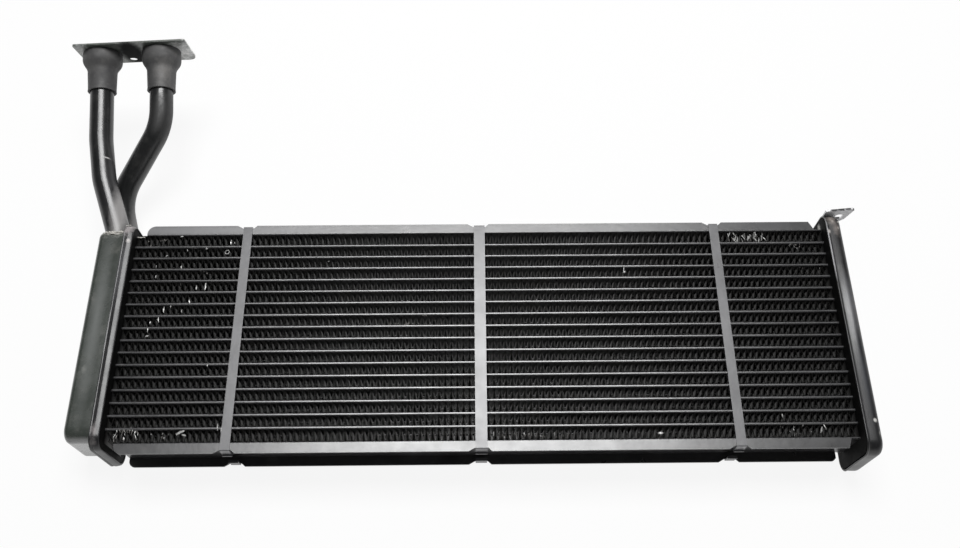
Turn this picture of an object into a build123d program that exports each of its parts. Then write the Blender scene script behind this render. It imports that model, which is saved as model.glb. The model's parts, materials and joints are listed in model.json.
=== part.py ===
from build123d import *
import math
import os

# Frame: X along the tubes, Y from the bottom side plate towards the pipes, Z up out of the front
# face. Everything is drawn about the middle of the core front face and moved once at the end,
# so that the origin is the bottom centre of the whole bounding box. Millimetres.

# core
tube_pitch = 10.0
tube_rows = 16
tube_thick = 2.0
tube_deep = 17.0
tube_wall = 0.35
tube_nose = 0.6
tube_reach = 1.2
core_deep = 38.0
fin_set_back = 0.5
fin_gauge = 0.6
fin_waves = 20
edge_fin_high = 9.5
core_half_y = tube_pitch * (tube_rows - 1) / 2 + tube_thick / 2 + edge_fin_high

# headers, X of the faces that look at the core
left_face_x = -275.0
right_face_x = 276.5
sheet = 1.6
pan_over = 6.0
pan_over_front = 10.7
pan_half_y = core_half_y + pan_over
pan_half_z = core_deep / 2 + pan_over_front
pan_corner = 10.0
pan_edge = 1.0
pan_reach = 7.0
lip_proud = 0.8
lip_width = 2.6
lip_edge = 0.6
slot_clear = 0.2
braze_gap = 0.3

# left tank, set in from the pan all round
tank_top_gap = 4.0
tank_low_gap = 7.0
tank_front_gap = 6.1
tank_rear_gap = 2.1
tank_mid_y = (tank_low_gap - tank_top_gap) / 2
tank_mid_z = -core_deep / 2 - (tank_front_gap - tank_rear_gap) / 2
tank_half_y = pan_half_y - (tank_low_gap + tank_top_gap) / 2
tank_half_z = pan_half_z - (tank_front_gap + tank_rear_gap) / 2
tank_wall = 1.2
tank_reach = 29.2
tank_round = 4.0
tank_top_corner = 5.0
partition_gauge = 1.5

# right return tank
cap_mid_y = -2.0
cap_over = 13.0
cap_half_y = core_half_y + cap_over
cap_half_z = pan_half_z + lip_proud - 0.5
cap_wall = 1.4
cap_reach = 12.0
cap_round = 3.0
hem_proud = 0.5
hem_width = 1.5
right_pan_reach = 6.5

# side plates
plate_gauge = 1.2
flange_high = 8.3
flange_out = core_half_y + flange_high
flange_left_gap = 8.0
flange_right_gap = 6.5
flange_x = (left_face_x + flange_left_gap, right_face_x - flange_right_gap)
front_flange_round = 6.5
rear_flange_round = 4.8
flange_right_round = 3.2
flange_right_cut = {"top": (3.2, 6.2), "bottom": (2.6, 7.4), "rear": (2.4, 2.4)}
notch_deep = 2.5
dimple_d = 5.0
dimple_deep = 0.4
dimple_x = 16.9
dimple_y = flange_out - 4.6

# straps
strap_x = {"left": -186.1, "middle": 0.0, "right": 189.0}
strap_width = {"left": 7.2, "middle": 8.7, "right": 7.2}
strap_gauge = 1.0
strap_leg = 10.0
strap_lip = 2.2

# pipes
pipe_d = 19.0
pipe_wall = 1.2
pipe_seat_clear = 0.2
pipe_end_gap = 1.5
pipe_edge_gap = 1.6
pipe_tank_x = left_face_x - tank_reach + pipe_end_gap + pipe_d / 2
pipe_half_pitch = tank_half_z - pipe_d / 2 - pipe_edge_gap
pipe_front_z = tank_mid_z + pipe_half_pitch
pipe_rear_z = tank_mid_z - pipe_half_pitch
pipe_stub_in = 4.5
pipe_stub_out = 2.0
pipe_rise = 4.5
front_knee = (-308.5, 136.5, 3.0)
front_pipe_drop = 76.0
front_pipe_radii = (22.0, 60.0, 60.0)
rear_knee = (-304.3, 135.3, -25.0)
rear_pipe_drop = 66.6
rear_pipe_radii = (22.0, 36.0, 36.0)

# flange plate, its own frame: x along its length, y away from the core, z to its front edge
plate_at = (-290.0, 245.4, 30.4)
plate_tilt = 14.9
plate_lean = 2.7
flange_long = 93.0
flange_wide = 38.0
flange_gauge = 1.5
left_pipe_u = -27.6
right_pipe_u = 22.1
bolt_hole_d = 7.0
bolt_hole_u = -6.3
bolt_edge = 5.4
bolt_hole_w = bolt_edge - flange_wide / 2

# seal cups
cup_d = 32.0
cup_drop = 8.8
cup_step_drop = 15.2
neck_top_d = 23.6
neck_d = 22.0
neck_drop = 34.4
rear_cup_longer = 1.6
cup_wall = 2.4
cup_clear = 0.25

# mounting bracket, X from the right header face
bracket_gauge = 1.5
bracket_hole_d = 6.5
bracket_hole_x = 14.7
bracket_hole_z = 3.6

tube_ys = [tube_pitch * (i - (tube_rows - 1) / 2) for i in range(tube_rows)]
tube_ys.reverse()
web_y = core_half_y
tank_top_y = tank_mid_y + tank_half_y
mid_z = -core_deep / 2
pipe_r = pipe_d / 2


def slab(x0, x1, half_y, half_z, corner, mid_y=0.0):
    """Rounded block across the core axis, between two X planes."""
    plane = Plane(origin=(x0, mid_y, mid_z), x_dir=(0, 1, 0), z_dir=(1, 0, 0))
    return extrude(plane * RectangleRounded(2 * half_y, 2 * half_z, corner), x1 - x0)


def tank_slab(x0, x1, inset):
    """Block of the left tank shape; its top corners are tighter than the bottom ones."""
    half_y = tank_half_y - inset
    half_z = tank_half_z - inset
    plan = Rectangle(2 * half_y, 2 * half_z)
    corners = plan.vertices().group_by(Axis.X)
    plan = fillet(corners[-1], tank_top_corner - inset)
    corners = plan.vertices().group_by(Axis.X)
    plan = fillet(corners[0], pan_corner - inset)
    plane = Plane(origin=(x0, tank_mid_y, tank_mid_z), x_dir=(0, 1, 0), z_dir=(1, 0, 0))
    return extrude(plane * plan, x1 - x0)


def block(x0, x1, y0, y1, z0, z1):
    """Plain block between pairs of planes."""
    centre = Pos((x0 + x1) / 2, (y0 + y1) / 2, (z0 + z1) / 2)
    return centre * Box(x1 - x0, y1 - y0, z1 - z0)


def outer_edges(shape, side):
    """Edges of the end face on the given X side."""
    faces = shape.faces().sort_by(Axis.X)
    return faces[-1].edges() if side > 0 else faces[0].edges()


def tube_centres_z():
    """Middle of the front and of the rear tube."""
    return (-tube_deep / 2, -core_deep + tube_deep / 2)


def tube_row(y):
    """Two flat tubes, one behind the other."""
    x0 = left_face_x - sheet - tube_reach
    x1 = right_face_x + sheet + tube_reach
    tubes = []
    for z in tube_centres_z():
        plane = Plane(origin=(x0, y, z), x_dir=(0, 1, 0), z_dir=(1, 0, 0))
        outer = chamfer(Rectangle(tube_thick, tube_deep).vertices(), tube_nose)
        inner = Rectangle(tube_thick - 2 * tube_wall, tube_deep - 2 * tube_wall - tube_nose)
        tubes.append(extrude(plane * (outer - inner), x1 - x0))
    return Compound(children=tubes)


def fin_row(low_y, high_y):
    """Folded strip that reaches from tube to tube."""
    y = (low_y + high_y) / 2
    x0 = left_face_x + 3.0
    x1 = right_face_x - 3.0
    step = (x1 - x0) / (2 * fin_waves)
    swing = (high_y - low_y - fin_gauge) / 2
    upper = []
    lower = []
    for i in range(2 * fin_waves + 1):
        level = y + (swing if i % 2 else -swing)
        upper.append((x0 + i * step, level + fin_gauge / 2))
        lower.append((x0 + i * step, level - fin_gauge / 2))
    outline = upper + lower[::-1]
    face = make_face(Polyline(*outline, close=True))
    return extrude(Pos(0, 0, -core_deep + fin_set_back) * face, core_deep - 2 * fin_set_back)


def fin_spans():
    """Low and high Y of every fin row, the top row first."""
    half = tube_thick / 2
    tops = [web_y] + [y - half for y in tube_ys]
    lows = [y + half for y in tube_ys] + [-web_y]
    return list(zip(lows, tops))


def tube_slots(x0, x1):
    """Cutters for the tube slots of one header sheet."""
    half_y = tube_thick / 2 + slot_clear
    half_z = tube_deep / 2 + slot_clear
    cutters = []
    for y in tube_ys:
        for z in tube_centres_z():
            cutters.append(block(x0, x1, y - half_y, y + half_y, z - half_z, z + half_z))
    return cutters


def header_left():
    """Pan with tube slots and a raised lip, open away from the core."""
    face_x = left_face_x
    back_x = face_x - sheet
    end_x = face_x - pan_reach
    body = slab(end_x, face_x, pan_half_y, pan_half_z, pan_corner)
    body = chamfer(outer_edges(body, 1), pan_edge)
    lip_out = lip_proud
    lip = slab(end_x, end_x + lip_width, pan_half_y + lip_out, pan_half_z + lip_out, pan_corner + lip_out)
    lip = chamfer(outer_edges(lip, 1), lip_edge)
    inside = slab(end_x, back_x, pan_half_y - sheet, pan_half_z - sheet, pan_corner - sheet)
    return body + lip - inside - tube_slots(back_x - 1, face_x + 1)


def tank_left():
    """Hollow tank with a foot that sits in the pan."""
    foot_x = left_face_x - sheet
    end_x = left_face_x - tank_reach
    shell = tank_slab(end_x, foot_x, 0)
    shell = fillet(outer_edges(shell, -1), tank_round)
    foot_y = pan_half_y - sheet - braze_gap
    foot_z = pan_half_z - sheet - braze_gap
    foot = slab(foot_x - tank_wall, foot_x, foot_y, foot_z, pan_corner - sheet)
    hollow = tank_slab(end_x + tank_wall, foot_x, tank_wall)
    hollow = chamfer(outer_edges(hollow, -1), (tank_round - tank_wall) / 2)
    tank = shell + foot - hollow
    for z in (pipe_front_z, pipe_rear_z):
        tank -= pipe_seat(z)
    return tank


def pipe_seat(z):
    """Cutter for one pipe hole in the top end of the left tank."""
    y = tank_top_y - pipe_stub_in - 1.0
    at = Pos(pipe_tank_x, y, z) * Rot(-90, 0, 0)
    return at * extrude(Circle(pipe_r + pipe_seat_clear), pipe_stub_in + 4.0)


def partition():
    """Wall along the left tank between the two pipe chambers."""
    x1 = left_face_x - sheet
    x0 = left_face_x - tank_reach + tank_wall
    top_y = tank_top_y - tank_wall
    low_y = tank_mid_y - tank_half_y + tank_wall
    cut = (tank_round - tank_wall) / 2
    outline = [(x1, low_y), (x1, top_y), (x0 + cut, top_y), (x0, top_y - cut)]
    outline += [(x0, low_y + cut), (x0 + cut, low_y)]
    face = make_face(Polyline(*outline, close=True))
    return extrude(Pos(0, 0, mid_z - partition_gauge / 2) * face, partition_gauge)


def header_right():
    """Shallow pan inside the return tank."""
    face_x = right_face_x
    back_x = face_x + sheet
    end_x = face_x + right_pan_reach
    half_y = cap_half_y - cap_wall - braze_gap
    half_z = cap_half_z - cap_wall - braze_gap
    corner = pan_corner - cap_wall - braze_gap
    body = slab(face_x, end_x, half_y, half_z, corner, cap_mid_y)
    inside = slab(back_x, end_x, half_y - sheet, half_z - sheet, corner - sheet, cap_mid_y)
    return body - inside - tube_slots(face_x - 1, back_x + 1)


def tank_right():
    """Shallow cap with a hem around its open edge."""
    face_x = right_face_x
    end_x = face_x + cap_reach
    shell = slab(face_x, end_x, cap_half_y, cap_half_z, pan_corner, cap_mid_y)
    shell = fillet(outer_edges(shell, 1), cap_round)
    hem_y = cap_half_y + hem_proud
    hem_z = cap_half_z + hem_proud
    hem = slab(face_x, face_x + hem_width, hem_y, hem_z, pan_corner + hem_proud, cap_mid_y)
    corner = pan_corner - cap_wall
    inner_y = cap_half_y - cap_wall
    inner_z = cap_half_z - cap_wall
    hollow = slab(face_x, end_x - cap_wall, inner_y, inner_z, corner, cap_mid_y)
    hollow = chamfer(outer_edges(hollow, 1), (cap_round - cap_wall) / 2)
    return shell + hem - hollow


def flange_plan(side, left_round, right_cut):
    """Outline of one flange, with its notches and its worked corners, seen from the front."""
    x0, x1 = flange_x
    points = [(x0, web_y), (x0, flange_out)]
    for name, x in strap_x.items():
        half = strap_width[name] / 2 + 0.6
        floor = flange_out - notch_deep
        points += [(x - half - 4.5, flange_out), (x - half, floor)]
        points += [(x + half, floor), (x + half + 2.8, flange_out)]
    points += [(x1 - right_cut[0], flange_out), (x1, flange_out - right_cut[1]), (x1, web_y)]
    plan = make_face(Polyline(*[(x, side * y) for x, y in points], close=True))
    return round_corner(plan, x0, side * flange_out, left_round)


def round_corner(plan, x, y, radius):
    """Round the outline corner nearest to a point."""
    corner = plan.vertices().sort_by_distance((x, y, 0))[0]
    return fillet(corner, radius)


def side_plate(side, place):
    """U channel with the flanges turned outward."""
    low_z = -core_deep
    web_low = min(side * web_y, side * (web_y + plate_gauge))
    web = block(flange_x[0], right_face_x, web_low, web_low + plate_gauge, low_z, 0)
    front = flange_plan(side, front_flange_round, flange_right_cut[place])
    rear = flange_plan(side, rear_flange_round, flange_right_cut["rear"])
    rear = round_corner(rear, flange_x[1] - flange_right_cut["rear"][0], side * flange_out, flange_right_round)
    plate = web + extrude(Pos(0, 0, -plate_gauge) * front, plate_gauge)
    plate += extrude(Pos(0, 0, low_z) * rear, plate_gauge)
    if place == "bottom":
        dimple = Pos(dimple_x, side * dimple_y, low_z + plate_gauge - dimple_deep)
        plate -= dimple * extrude(Circle(dimple_d / 2), 2 * dimple_deep)
    long = plate.edges().filter_by(Axis.X).filter_by(lambda e: e.length > 400)
    bends = [e for e in long if abs(abs(e.center().Y) - web_y) < 0.01]
    bends = [e for e in bends if e.center().Z > -0.01 or e.center().Z < low_z + 0.01]
    return fillet(bends, 0.9)


def strap(name, front):
    """Flat band over one core face, its ends folded over both side plates."""
    out_y = flange_out - notch_deep + strap_gauge
    in_y = out_y - strap_gauge
    lip_y = in_y + strap_lip
    g = strap_gauge
    half = [(out_y, g), (out_y, g - strap_leg), (lip_y, g - strap_leg)]
    half += [(lip_y, -strap_leg), (in_y, -strap_leg), (in_y, 0)]
    outline = half + [(-y, z) for y, z in half[::-1]]
    if not front:
        outline = [(y, -core_deep - z) for y, z in outline]
    x0 = strap_x[name] - strap_width[name] / 2
    plane = Plane(origin=(x0, 0, 0), x_dir=(0, 1, 0), z_dir=(1, 0, 0))
    band = extrude(plane * make_face(Polyline(*outline, close=True)), strap_width[name])
    top_z = g if front else -core_deep - g
    bends = [e for e in band.edges().filter_by(Axis.X) if abs(e.center().Z - top_z) < 0.01]
    return fillet(bends, 0.7)


def plate_frame():
    """Location of the flange plate frame."""
    return Pos(*plate_at) * Rot(plate_tilt, 0, 0) * Rot(0, 0, plate_lean)


def from_plate(u, v, w):
    """Point of the flange plate frame as a vector."""
    return (plate_frame() * Pos(u, v, w)).position


def bent_path(points, radii):
    """Straight runs joined by arcs that are tangent to them."""
    edges = []
    start = points[0]
    for corner, after, radius in zip(points[1:-1], points[2:], radii):
        back = (start - corner).normalized()
        ahead = (after - corner).normalized()
        half = math.acos(max(-1.0, min(1.0, back.dot(ahead)))) / 2
        run = radius / math.tan(half)
        inner = (back + ahead).normalized()
        middle = corner + inner * (radius / math.sin(half) - radius)
        first = corner + back * run
        last = corner + ahead * run
        edges.append(Line(start, first))
        edges.append(ThreePointArc(first, middle, last))
        start = last
    edges.append(Line(start, points[-1]))
    return Wire([e.edge() for e in edges])


def pipe(points, radii):
    """Hollow bent pipe along a path."""
    path = bent_path(points, radii)
    plane = Plane(origin=points[0], z_dir=points[1] - points[0])
    outside = sweep(plane * Circle(pipe_r), path=path)
    inside = sweep(plane * Circle(pipe_r - pipe_wall), path=path)
    return outside - inside


def tank_start(z):
    """Pipe end inside the left tank."""
    return Vector(pipe_tank_x, tank_top_y - pipe_stub_in, z)


def above_tank(z):
    """Corner of a pipe path just above the left tank."""
    return Vector(pipe_tank_x, tank_top_y + pipe_rise, z)


def pipe_front():
    """Pipe from the front chamber, with two slight bends on its way up."""
    top = flange_gauge + pipe_stub_out
    points = [tank_start(pipe_front_z), above_tank(pipe_front_z), Vector(*front_knee)]
    points += [from_plate(left_pipe_u, -front_pipe_drop, 0), from_plate(left_pipe_u, top, 0)]
    return pipe(points, front_pipe_radii)


def pipe_rear():
    """Pipe from the rear chamber, with a double bend."""
    top = flange_gauge + pipe_stub_out
    points = [tank_start(pipe_rear_z), above_tank(pipe_rear_z), Vector(*rear_knee)]
    points += [from_plate(right_pipe_u, -rear_pipe_drop, 0), from_plate(right_pipe_u, top, 0)]
    return pipe(points, rear_pipe_radii)


def seal_cup(u, longer=0.0):
    """Turned cup under the flange plate, with a tapered shoulder and a neck around the pipe."""
    r = cup_d / 2
    neck_top_r = neck_top_d / 2
    neck_r = neck_d / 2
    bore = pipe_r + cup_clear
    inner = r - cup_wall
    floor = -cup_drop - longer
    outline = [(inner, 0), (r, 0), (r, floor), (neck_top_r, -cup_step_drop - longer)]
    outline += [(neck_r, -neck_drop - longer), (bore, -neck_drop - longer)]
    outline += [(bore, floor), (inner, floor)]
    face = make_face(Polyline(*outline, close=True))
    return plate_frame() * Pos(u, 0, 0) * revolve(face, Axis.Y)


def flange_plate():
    """Thin plate that carries both pipe ends."""
    corners = Rectangle(flange_long, flange_wide)
    plan = round_corner(corners, flange_long / 2, flange_wide / 2, 6.0)
    for x, y in ((-1, 1), (-1, -1), (1, -1)):
        plan = round_corner(plan, x * flange_long / 2, y * flange_wide / 2, 2.0)
    for u in (left_pipe_u, right_pipe_u):
        plan -= Pos(u, 0) * Circle(pipe_r + pipe_seat_clear)
    plan -= Pos(bolt_hole_u, -bolt_hole_w) * Circle(bolt_hole_d / 2)
    # the plan lies on the plate frame with its own y pointing to the rear edge
    return plate_frame() * (Rot(-90, 0, 0) * extrude(plan, flange_gauge))


def mounting_bracket():
    """Tab on the top end of the return tank."""
    outline = [(1.9, 11.2), (5.0, 12.2), (22.1, 15.2), (23.9, 13.6), (20.3, -0.6)]
    outline += [(17.5, -4.0), (11.5, -8.0), (1.9, -8.0)]
    face = make_face(Polyline(*outline, close=True))
    face -= Pos(bracket_hole_x, bracket_hole_z) * Circle(bracket_hole_d / 2)
    y = cap_mid_y + cap_half_y + bracket_gauge
    return Pos(right_face_x, y, 0) * (Rot(90, 0, 0) * extrude(face, bracket_gauge))


def all_parts():
    """Every node about the core origin."""
    parts = {}
    for i, y in enumerate(tube_ys):
        parts[f"tubes_row_{i + 1:02d}"] = tube_row(y)
    for i, (low_y, high_y) in enumerate(fin_spans()):
        parts[f"fin_row_{i + 1:02d}"] = fin_row(low_y, high_y)
    parts["header_plate_left"] = header_left()
    parts["header_plate_right"] = header_right()
    parts["tank_left"] = tank_left()
    parts["tank_partition"] = partition()
    parts["tank_right"] = tank_right()
    parts["side_plate_top"] = side_plate(1, "top")
    parts["side_plate_bottom"] = side_plate(-1, "bottom")
    for name in strap_x:
        parts[f"front_strap_{name}"] = strap(name, True)
        parts[f"rear_strap_{name}"] = strap(name, False)
    parts["pipe_front"] = pipe_front()
    parts["pipe_rear"] = pipe_rear()
    parts["seal_cup_front_pipe"] = seal_cup(left_pipe_u)
    parts["seal_cup_rear_pipe"] = seal_cup(right_pipe_u, rear_cup_longer)
    parts["pipe_flange_plate"] = flange_plate()
    parts["mounting_bracket"] = mounting_bracket()
    return parts


def origin_shift(parts):
    """Move that brings the bottom centre of the bounding box to the origin."""
    boxes = [p.bounding_box() for p in parts.values()]
    x = (min(b.min.X for b in boxes) + max(b.max.X for b in boxes)) / 2
    y = (min(b.min.Y for b in boxes) + max(b.max.Y for b in boxes)) / 2
    z = min(b.min.Z for b in boxes)
    return Vector(-x, -y, -z)


def main():
    os.makedirs("parts", exist_ok=True)
    parts = all_parts()
    shift = origin_shift(parts)
    for name, shape in parts.items():
        export_step(Pos(*shift) * shape, f"parts/{name}.step")
    print("shift", [round(v, 4) for v in shift])


main()
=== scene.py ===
import json
import math
import random

import bmesh
import bpy
from mathutils import Matrix, Vector


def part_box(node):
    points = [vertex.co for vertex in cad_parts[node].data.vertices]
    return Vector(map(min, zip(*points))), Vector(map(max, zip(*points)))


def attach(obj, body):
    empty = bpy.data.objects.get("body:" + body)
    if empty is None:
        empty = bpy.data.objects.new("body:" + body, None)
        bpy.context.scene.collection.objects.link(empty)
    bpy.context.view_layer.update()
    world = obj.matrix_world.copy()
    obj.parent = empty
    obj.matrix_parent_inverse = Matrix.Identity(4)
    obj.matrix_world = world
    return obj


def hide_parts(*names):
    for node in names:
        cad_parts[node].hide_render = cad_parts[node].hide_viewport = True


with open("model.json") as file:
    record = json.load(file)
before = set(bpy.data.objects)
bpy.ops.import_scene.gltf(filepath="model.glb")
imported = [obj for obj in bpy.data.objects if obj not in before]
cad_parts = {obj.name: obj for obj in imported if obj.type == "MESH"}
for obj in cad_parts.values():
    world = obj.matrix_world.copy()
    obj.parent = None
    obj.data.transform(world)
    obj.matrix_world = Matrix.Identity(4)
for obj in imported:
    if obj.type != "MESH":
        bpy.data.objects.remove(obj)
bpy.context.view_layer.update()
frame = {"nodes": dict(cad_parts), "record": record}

MM = 1000
UPRIGHT = math.pi / 2

# The core frame: millimetres from the middle of the core's front face. MOVE brings it to the row frame.
PITCH = 10.0
ROWS = 16
TUBE_Y = [PITCH * ((ROWS - 1) / 2 - i) for i in range(ROWS)]
HALF_TUBE = 1.0
WEB_Y = 85.5
LEFT_X, RIGHT_X = -275.0, 276.5
MID_Z = -19.0
FIN_FRONT, FIN_BACK = -0.5, -37.5
FIN_DEPTH = FIN_FRONT - FIN_BACK
strap_low, strap_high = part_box("front_strap_middle")
tube_low, tube_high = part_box("tubes_row_01")
fin_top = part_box("fin_row_01")[1].z
MOVE = Vector(((strap_low.x + strap_high.x) * MM / 2, (tube_low.y + tube_high.y) * MM / 2 - TUBE_Y[0],
               fin_top * MM - FIN_FRONT))

# Flange plate, seal cups and pipes
PLATE_AT = Vector((-290.0, 245.4, 30.4))
PLATE_TILT, PLATE_SWING = 14.9, 2.7
PLATE_TURN = (Matrix.Rotation(math.radians(PLATE_TILT), 3, "X")
              @ Matrix.Rotation(math.radians(PLATE_SWING), 3, "Z"))
LEFT_CUP_U, RIGHT_CUP_U = -27.6, 22.1
CUP_FOOT = -34.4
PIPE_X, PIPE_FRONT_Z, PIPE_REAR_Z, PIPE_R = -293.2, -6.5, -35.5, 9.5

# Left tank's top end, with its rounded edges
TANK_TOP_Y = 87.5
TANK_FRONT_Z, TANK_FRONT_ROUND = -0.4, 5.0
TANK_END_X, TANK_END_ROUND = -300.2, 4.0

# Fin strips: waves of louvred legs joined by folds
FIN_LEGS = 238
FIN_START = 3.0
FIN_LEAN, LEAN_SPREAD = 0.27, 0.05
BEND_KEPT, BEND_SPREAD, BEND_SHIFT = 0.82, 0.12, 0.4
DEEPEST_DIP = 0.5
FOLD = 1.0
FOLD_ARC = ((0.10, 0.45), (0.30, 0.10), (0.50, 0.0), (0.70, 0.10), (0.90, 0.45))
LEG_MARGIN, EDGE_STRIP = 0.08, 1.6
HALF_FOIL = 0.07
SLATS, SLAT_SHARE = 11, 0.92
SLAT_END, SLAT_TILT = 0.10, 0.52
END_GAP, END_TAIL = 0.7, 14.0
END_LOW, END_HIGH = 0.2, 0.1

# Stage, light and camera
FLOOR_HALF, FLOOR_Z = 6.0, -0.0005
KEY_AT, KEY_TOWARD = Vector((0.0, 0.575, 1.70)), Vector((0.0, 0.3, 0.0))
KEY_WIDTH, KEY_HEIGHT, KEY_WATTS = 1.0, 0.75, 35
CAMERA_AT = (-5.0, -284.9, 681.7)
CAMERA_RIGHT = Vector((0.9999, -0.0098, 0.0028))
CAMERA_AHEAD = Vector((0.0069, 0.4397, -0.8981))
PHOTO_WIDTH, FOCAL_PIXELS = 960, 961.85
SENSOR = 36.0


def at(x, y, z):
    """Core millimetres to row metres."""
    return (Vector((x, y, z)) + MOVE) / MM


def on_plate(u, v, w):
    """Flange plate millimetres to core millimetres."""
    return PLATE_AT + PLATE_TURN @ Vector((u, v, w))


def grey(level):
    return (level, level, level)


# Shader helpers

def new_material(name):
    material = bpy.data.materials.new(name)
    material.use_nodes = True
    tree = material.node_tree
    tree.nodes.clear()
    out = tree.nodes.new("ShaderNodeOutputMaterial")
    shader = tree.nodes.new("ShaderNodeBsdfPrincipled")
    tree.links.new(shader.outputs[0], out.inputs[0])
    return material, tree, shader


def noise(tree, scale, detail, rough=0.55, stretch=None):
    """Noise factor in object coordinates, scale in features per metre."""
    coords = tree.nodes.new("ShaderNodeTexCoord")
    node = tree.nodes.new("ShaderNodeTexNoise")
    node.inputs["Scale"].default_value = scale
    node.inputs["Detail"].default_value = detail
    node.inputs["Roughness"].default_value = rough
    source = coords.outputs["Object"]
    if stretch:
        mapping = tree.nodes.new("ShaderNodeMapping")
        mapping.inputs["Scale"].default_value = stretch
        tree.links.new(source, mapping.inputs["Vector"])
        source = mapping.outputs[0]
    tree.links.new(source, node.inputs["Vector"])
    return node.outputs["Fac"]


def ramp(tree, source, stops):
    """Colour or level through some stops of (place, value)."""
    node = tree.nodes.new("ShaderNodeValToRGB")
    elements = node.color_ramp.elements
    while len(elements) < len(stops):
        elements.new(0.5)
    for element, (place, value) in zip(elements, stops):
        element.position = place
        colour = value if isinstance(value, tuple) else grey(value)
        element.color = (*colour, 1)
    tree.links.new(source, node.inputs[0])
    return node.outputs[0]


def mix(tree, factor, a, b, mode="MIX"):
    node = tree.nodes.new("ShaderNodeMix")
    node.data_type = "RGBA"
    node.blend_type = mode
    for socket, value in ((node.inputs[0], factor), (node.inputs[6], a), (node.inputs[7], b)):
        if hasattr(value, "is_output"):
            tree.links.new(value, socket)
        elif isinstance(value, tuple):
            socket.default_value = (*value, 1)
        else:
            socket.default_value = value
    return node.outputs[2]


def math_node(tree, operation, *values):
    node = tree.nodes.new("ShaderNodeMath")
    node.operation = operation
    for socket, value in zip(node.inputs, values):
        if hasattr(value, "is_output"):
            tree.links.new(value, socket)
        else:
            socket.default_value = value
    return node.outputs[0]


def patch(tree, centre, size, solid, ragged, grain=260):
    """1 inside an uneven ball round a core point, fading to 0 at its edge from the solid share on.

    The size holds its half widths in mm.
    """
    coords = tree.nodes.new("ShaderNodeTexCoord")
    move = tree.nodes.new("ShaderNodeVectorMath")
    move.operation = "SUBTRACT"
    move.inputs[1].default_value = at(*centre)
    scale = tree.nodes.new("ShaderNodeVectorMath")
    scale.operation = "MULTIPLY"
    scale.inputs[1].default_value = [MM / s for s in size]
    length = tree.nodes.new("ShaderNodeVectorMath")
    length.operation = "LENGTH"
    tree.links.new(coords.outputs["Object"], move.inputs[0])
    tree.links.new(move.outputs[0], scale.inputs[0])
    tree.links.new(scale.outputs[0], length.inputs[0])
    rough = math_node(tree, "MULTIPLY_ADD", noise(tree, grain, 5, 0.7), 2 * ragged, -ragged)
    away = math_node(tree, "ADD", length.outputs["Value"], rough)
    return ramp(tree, away, [(solid, 1.0), (1.0, 0.0)])


def bump(tree, shader, height, distance, strength, below=None):
    node = tree.nodes.new("ShaderNodeBump")
    node.inputs["Distance"].default_value = distance
    node.inputs["Strength"].default_value = strength
    tree.links.new(height, node.inputs["Height"])
    if below:
        tree.links.new(below, node.inputs["Normal"])
    tree.links.new(node.outputs[0], shader.inputs["Normal"])
    return node.outputs[0]


def finish(tree, shader, colour, rough, metal=0.0, gloss=0.5):
    """Gives a shader its colour and an uneven roughness of (noise scale, detail, low, high)."""
    scale, detail, low, high = rough
    roughness = ramp(tree, noise(tree, scale, detail), [(0.3, low), (0.7, high)])
    tree.links.new(colour, shader.inputs["Base Color"])
    tree.links.new(roughness, shader.inputs["Roughness"])
    shader.inputs["Metallic"].default_value = metal
    shader.inputs["Specular IOR Level"].default_value = gloss


# Materials

DUST = (0.30, 0.29, 0.27)


def painted(name, dark, light, rough, dust_amount, peel=0.00004, grain=900.0, coat=0.0, gloss=0.5, marks_and_light=()):
    """Sprayed metal: uneven tone, dust in patches and specks, orange peel, worn marks and patches of painted
    highlight and painted shade.
    """
    material, tree, shader = new_material(name)
    tone = ramp(tree, noise(tree, 34, 5), [(0.30, dark), (0.72, light)])
    patches = ramp(tree, noise(tree, 95, 8, 0.7), [(0.52, 0.0), (0.74, dust_amount)])
    colour = mix(tree, patches, tone, DUST)
    specks = ramp(tree, noise(tree, 1300, 2, 0.5), [(0.70, 0.0), (0.78, dust_amount * 1.3)])
    colour = mix(tree, specks, colour, DUST)
    smoothest, roughest = rough
    roughness = ramp(tree, noise(tree, 60, 6, 0.6), [(0.30, smoothest), (0.70, roughest)])
    # The patches hold real wear and dirt, and in some sets painted highlights and painted shade
    for centre, size, (solid, ragged), patch_colour, dull in marks_and_light:
        place = patch(tree, centre, size, solid, ragged)
        colour = mix(tree, place, colour, patch_colour)
        roughness = mix(tree, place, roughness, grey(dull))
    tree.links.new(colour, shader.inputs["Base Color"])
    tree.links.new(roughness, shader.inputs["Roughness"])
    shader.inputs["Specular IOR Level"].default_value = gloss
    shader.inputs["Coat Weight"].default_value = coat
    shader.inputs["Coat Roughness"].default_value = 0.12
    waves = bump(tree, shader, noise(tree, 150, 2), peel * 6, 0.5)
    bump(tree, shader, noise(tree, grain, 3), peel, 0.8, waves)
    return material


def foil(name, colour, dull, metal):
    """Bare crumpled metal between two tones."""
    material, tree, shader = new_material(name)
    tone = ramp(tree, noise(tree, 420, 4, 0.7), [(0.30, dull), (0.65, colour)])
    finish(tree, shader, tone, (800, 3, 0.28, 0.55), metal)
    bump(tree, shader, noise(tree, 1500, 3), 0.00006, 0.8)
    return material


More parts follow.
